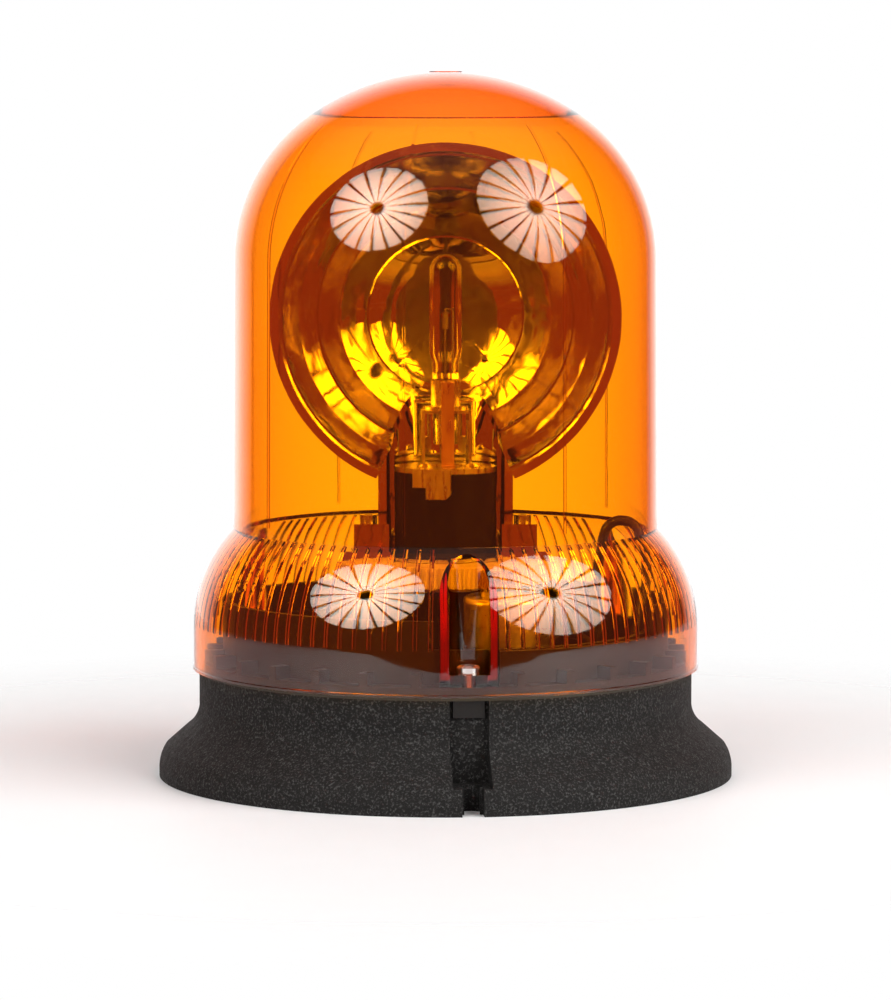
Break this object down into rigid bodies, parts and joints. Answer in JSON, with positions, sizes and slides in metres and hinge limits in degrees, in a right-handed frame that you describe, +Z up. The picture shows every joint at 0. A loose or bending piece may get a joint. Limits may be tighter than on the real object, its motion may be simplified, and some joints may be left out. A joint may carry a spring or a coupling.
{
  "type": "rotating beacon",
  "caption": "Amber rotating beacon: domed lens over a halogen lamp, geared spinning chrome reflector, black rubber flanged base.",
  "frame": {"origin": "centre of the underside of the rubber base", "axes": "+Z up along the axis of the dome and of the reflector, -Y towards one mounting slot and the lens screw above it"},
  "size_m": [0.17, 0.1699, 0.2075],
  "materials": {
    "base_rubber": "textured matt black rubber",
    "black_plastic": "moulded black plastic",
    "amber_lens": "clear amber polycarbonate",
    "seal_rubber": "soft black rubber",
    "bright_screw": "bright zinc",
    "post_plastic": "heat resistant black plastic",
    "washer_steel": "plain steel",
    "bush_brass": "sintered bronze",
    "gear_nylon": "natural nylon",
    "mirror_chrome": "vacuum metallised mirror",
    "motor_steel": "zinc plated steel",
    "pinion_brass": "machined brass",
    "holder_steel": "plated sheet steel",
    "contact_copper": "phosphor bronze",
    "bulb_cap_metal": "nickel plated",
    "bulb_glass": "clear quartz",
    "tungsten": "drawn tungsten",
    "clip_wire": "spring wire",
    "terminal_plastic": "ivory nylon",
    "lead_sheath": "black sheathing"
  },
  "bodies": {
    "housing": {"rubber_base": "base_rubber", "chassis": "black_plastic", "lens_dome": "amber_lens", "lens_gasket": "seal_rubber", "lens_screws": "bright_screw", "cable_grommet": "seal_rubber", "lamp_post": "post_plastic", "post_screws": "bright_screw", "thrust_washer": "washer_steel", "retaining_ring": "washer_steel", "motor_can": "motor_steel", "motor_end_cap": "black_plastic", "motor_clamp": "motor_steel", "clamp_screws": "bright_screw", "holder_plate": "holder_steel", "holder_screws": "bright_screw", "bulb_bracket": "holder_steel", "contact_strip": "contact_copper", "bulb_cap": "bulb_cap_metal", "bulb_glass": "bulb_glass", "bulb_filament": "tungsten", "terminal_block": "terminal_plastic", "terminal_lugs": "contact_copper", "motor_lead": "lead_sheath", "lamp_lead": "lead_sheath"},
    "rotor": {"drive_gear": "gear_nylon", "rotor_bush": "bush_brass", "reflector": "mirror_chrome", "reflector_screws": "bright_screw"},
    "armature": {"motor_pinion": "pinion_brass", "motor_shaft": "washer_steel"},
    "clip": {"bulb_clip": "clip_wire"}
  },
  "joints": [
    {"name": "reflector_spin", "type": "hinge", "parent": "housing", "child": "rotor", "pos_m": [0, 0, 0.06], "axis": [0, 0, 1], "continuous": true},
    {"name": "motor_spin", "type": "hinge", "parent": "housing", "child": "armature", "pos_m": [0.01415, -0.03179, 0.06], "axis": [0, 0, 1], "continuous": true},
    {"name": "bulb_clip_swing", "type": "hinge", "parent": "housing", "child": "clip", "pos_m": [0, 0.002, 0.0945], "axis": [-1, 0, 0], "range_deg": [0, 24]}
  ],
  "couplings": [
    {"joint": "motor_spin", "follows": "reflector_spin", "ratio": -7.7}
  ]
}
